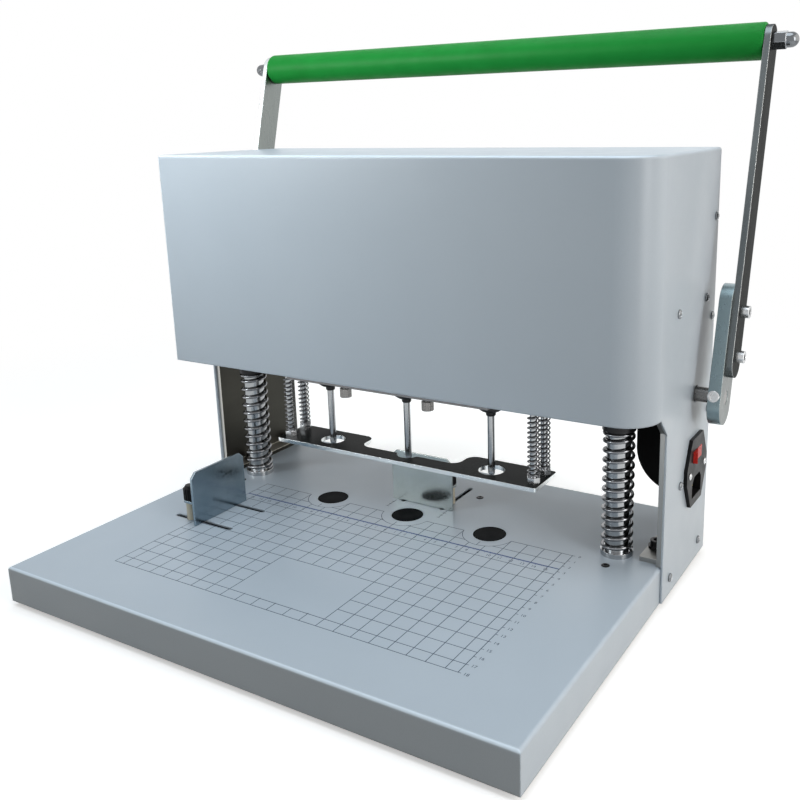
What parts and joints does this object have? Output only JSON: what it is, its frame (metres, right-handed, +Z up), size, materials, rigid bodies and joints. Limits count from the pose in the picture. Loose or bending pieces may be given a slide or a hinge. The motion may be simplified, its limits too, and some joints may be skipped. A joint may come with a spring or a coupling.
{
  "type": "electric hole punch",
  "caption": "Desk paper-drilling punch: closed head on sprung guide columns over a flat table, fed by a hand lever through racks, with sliding paper gauges and a presser plate.",
  "frame": {"origin": "on the table, under the middle of the whole machine with its lever up", "axes": "+X to the right along the row of drills, +Y to the back, +Z up"},
  "size_m": [0.554, 0.3998, 0.4412],
  "materials": {
    "grey_paint": "satin powder coat",
    "dark_steel": "oiled",
    "zinc_steel": "zinc plated",
    "bright_steel": "polished",
    "black_steel": "black oxide",
    "bronze": "turned",
    "rubber": "matt",
    "black_plastic": "moulded",
    "cream_plastic": "moulded",
    "red_plastic": "moulded",
    "green_grip": "satin",
    "motor_black": "black anodised",
    "brass_pins": "plated"
  },
  "bodies": {
    "frame": {"base_pan": "grey_paint", "bed_plate": "dark_steel", "rubber_feet": "rubber", "cutting_pads": "black_plastic", "left_side_frame": "zinc_steel", "right_side_frame": "zinc_steel", "frame_foot_bolts": "black_steel", "head_cover": "grey_paint", "rear_panel": "grey_paint", "cover_screws": "zinc_steel", "left_column": "bright_steel", "right_column": "bright_steel", "column_collars": "bright_steel", "column_nuts": "zinc_steel", "left_column_spring": "zinc_steel", "right_column_spring": "zinc_steel", "top_beam": "zinc_steel", "shaft_bushes": "bronze", "power_inlet": "black_plastic", "inlet_pins": "brass_pins", "inlet_screws": "zinc_steel", "wiring_cover": "black_plastic"},
    "head": {"head_plate": "dark_steel", "motor_plate": "dark_steel", "guide_bushes": "black_steel", "head_racks": "dark_steel", "head_hand_screws": "zinc_steel", "drill_motors": "motor_black", "presser_springs": "zinc_steel"},
    "lever": {"pivot_shaft": "bright_steel", "lever_pinions": "dark_steel", "left_crank": "zinc_steel", "right_crank": "zinc_steel", "left_arm": "zinc_steel", "right_arm": "zinc_steel", "grip": "green_grip", "grip_rod": "zinc_steel", "grip_end_nuts": "zinc_steel", "crank_bolts": "zinc_steel", "clamp_screws": "bright_steel"},
    "presser": {"presser_plate": "zinc_steel", "presser_rods": "bright_steel", "presser_nuts": "zinc_steel"},
    "left_spindle": {"left_collet": "black_steel", "left_bit": "bright_steel"},
    "centre_spindle": {"centre_collet": "black_steel", "centre_bit": "bright_steel"},
    "right_spindle": {"right_collet": "black_steel", "right_bit": "bright_steel"},
    "side_stop": {"side_gauge": "zinc_steel", "side_gauge_spacers": "cream_plastic", "side_gauge_bolts": "zinc_steel"},
    "side_front_knob": {"side_knob_front": "black_plastic"},
    "side_rear_knob": {"side_knob_rear": "black_plastic"},
    "rear_stop": {"rear_gauge": "zinc_steel", "rear_gauge_spacers": "cream_plastic", "rear_gauge_bolts": "zinc_steel"},
    "rear_left_knob": {"rear_knob_left": "black_plastic"},
    "rear_right_knob": {"rear_knob_right": "black_plastic"},
    "switch": {"power_switch": "red_plastic"}
  },
  "joints": [
    {"name": "head_feed", "type": "slide", "parent": "frame", "child": "head", "axis": [0, 0, -1], "range_m": [0, 0.0515], "stiffness_N_per_m": 5000, "springref_m": -0.026, "deforming": ["left_column_spring", "right_column_spring"]},
    {"name": "lever_swing", "type": "hinge", "parent": "frame", "child": "lever", "pos_m": [0, 0.1101, 0.155], "axis": [1, 0, 0], "range_deg": [0, 101.8]},
    {"name": "presser_float", "type": "slide", "parent": "head", "child": "presser", "axis": [0, 0, 1], "range_m": [0, 0.044], "stiffness_N_per_m": 1500, "springref_m": -0.012, "deforming": ["presser_springs"]},
    {"name": "left_spin", "type": "hinge", "parent": "head", "child": "left_spindle", "pos_m": [-0.0825, 0.0371, 0.11], "axis": [0, 0, 1], "continuous": true},
    {"name": "centre_spin", "type": "hinge", "parent": "head", "child": "centre_spindle", "pos_m": [0, 0.0371, 0.11], "axis": [0, 0, 1], "continuous": true},
    {"name": "right_spin", "type": "hinge", "parent": "head", "child": "right_spindle", "pos_m": [0.0825, 0.0371, 0.11], "axis": [0, 0, 1], "continuous": true},
    {"name": "side_gauge_slide", "type": "slide", "parent": "frame", "child": "side_stop", "axis": [1, 0, 0], "range_m": [-0.016, 0.044]},
    {"name": "side_front_knob_turn", "type": "hinge", "parent": "side_stop", "child": "side_front_knob", "pos_m": [-0.1645, -0.0634, 0.056], "axis": [0, 0, 1], "range_deg": [0, 360]},
    {"name": "side_rear_knob_turn", "type": "hinge", "parent": "side_stop", "child": "side_rear_knob", "pos_m": [-0.1645, -0.0224, 0.056], "axis": [0, 0, 1], "range_deg": [0, 360]},
    {"name": "rear_gauge_slide", "type": "slide", "parent": "frame", "child": "rear_stop", "axis": [0, 1, 0], "range_m": [-0.014, 0.036]},
    {"name": "rear_left_knob_turn", "type": "hinge", "parent": "rear_stop", "child": "rear_left_knob", "pos_m": [-0.0205, 0.0716, 0.056], "axis": [0, 0, 1], "range_deg": [0, 360]},
    {"name": "rear_right_knob_turn", "type": "hinge", "parent": "rear_stop", "child": "rear_right_knob", "pos_m": [0.0205, 0.0716, 0.056], "axis": [0, 0, 1], "range_deg": [0, 360]},
    {"name": "switch_rock", "type": "hinge", "parent": "frame", "child": "switch", "pos_m": [0.2294, 0.1121, 0.104], "axis": [0, 0, -1], "range_deg": [0, 16]}
  ],
  "couplings": [
    {"joint": "lever_swing", "follows": "head_feed", "rad_per_m": 34.483}
  ]
}
